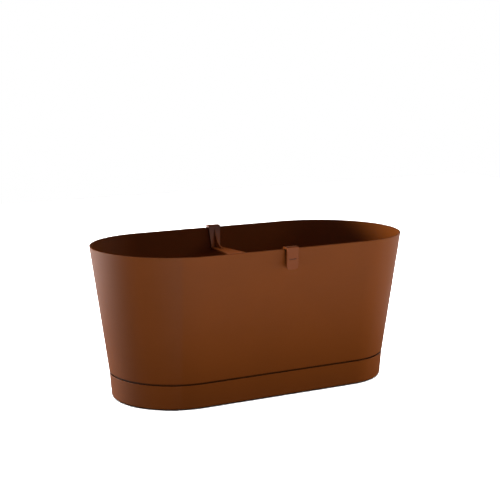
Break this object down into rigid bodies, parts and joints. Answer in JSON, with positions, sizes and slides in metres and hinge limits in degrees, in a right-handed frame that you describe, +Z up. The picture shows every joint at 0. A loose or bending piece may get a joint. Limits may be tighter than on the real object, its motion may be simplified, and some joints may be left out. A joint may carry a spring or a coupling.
{
  "type": "self watering planter",
  "caption": "Long oval tapered planter over a flush water tray, with a cross brace hooked over its rims and a wicking reservoir inside.",
  "frame": {"origin": "on the ground under the middle of the planter, at the underside of the foot pads", "axes": "+X along the planter, +Y across it towards the drain plug's side, +Z up"},
  "size_m": [0.5998, 0.304, 0.2735],
  "materials": {
    "pot_plastic": "matte, faint mould grain",
    "brace_plastic": "matte, slightly smoother than the pot",
    "inner_plastic": "matte",
    "cup_plastic": "matte",
    "pad_rubber": "matte",
    "float_plastic": "fine foam grain",
    "rod_plastic": "gloss",
    "window_plastic": "clear",
    "pin_steel": "brushed"
  },
  "bodies": {
    "tray": {"water_tray": "pot_plastic", "foot_pad_1": "pad_rubber", "foot_pad_2": "pad_rubber", "foot_pad_3": "pad_rubber", "foot_pad_4": "pad_rubber", "foot_pad_5": "pad_rubber", "foot_pad_6": "pad_rubber"},
    "pot": {"pot_shell": "pot_plastic", "pot_ledge": "pot_plastic"},
    "brace": {"cross_brace": "brace_plastic"},
    "grid": {"soil_grid": "inner_plastic", "fill_tube": "inner_plastic", "cap_pin": "pin_steel", "gauge_tube": "inner_plastic", "gauge_window": "window_plastic"},
    "left_cup": {"wick_cup_left": "cup_plastic"},
    "right_cup": {"wick_cup_right": "cup_plastic"},
    "cap": {"fill_cap": "inner_plastic"},
    "float": {"gauge_float": "float_plastic", "gauge_rod": "rod_plastic"},
    "plug": {"drain_plug": "cup_plastic", "drain_seal": "pad_rubber"}
  },
  "joints": [
    {"name": "pot_lift", "type": "slide", "parent": "tray", "child": "pot", "axis": [0, 0, 1], "range_m": [0, 0.06]},
    {"name": "brace_lift", "type": "slide", "parent": "pot", "child": "brace", "axis": [0, 0, 1], "range_m": [0, 0.06]},
    {"name": "grid_lift", "type": "slide", "parent": "pot", "child": "grid", "axis": [0, 0, 1], "range_m": [0, 0.05]},
    {"name": "left_cup_lift", "type": "slide", "parent": "grid", "child": "left_cup", "axis": [0, 0, 1], "range_m": [0, 0.04]},
    {"name": "right_cup_lift", "type": "slide", "parent": "grid", "child": "right_cup", "axis": [0, 0, 1], "range_m": [0, 0.04]},
    {"name": "cap_hinge", "type": "hinge", "parent": "grid", "child": "cap", "pos_m": [0.075, -0.0952, 0.241], "axis": [1, 0, 0], "range_deg": [0, 110]},
    {"name": "float_rise", "type": "slide", "parent": "grid", "child": "float", "axis": [0, 0, 1], "range_m": [0, 0.018]},
    {"name": "plug_pull", "type": "slide", "parent": "tray", "child": "plug", "axis": [0, 1, 0], "range_m": [0, 0.03]}
  ]
}
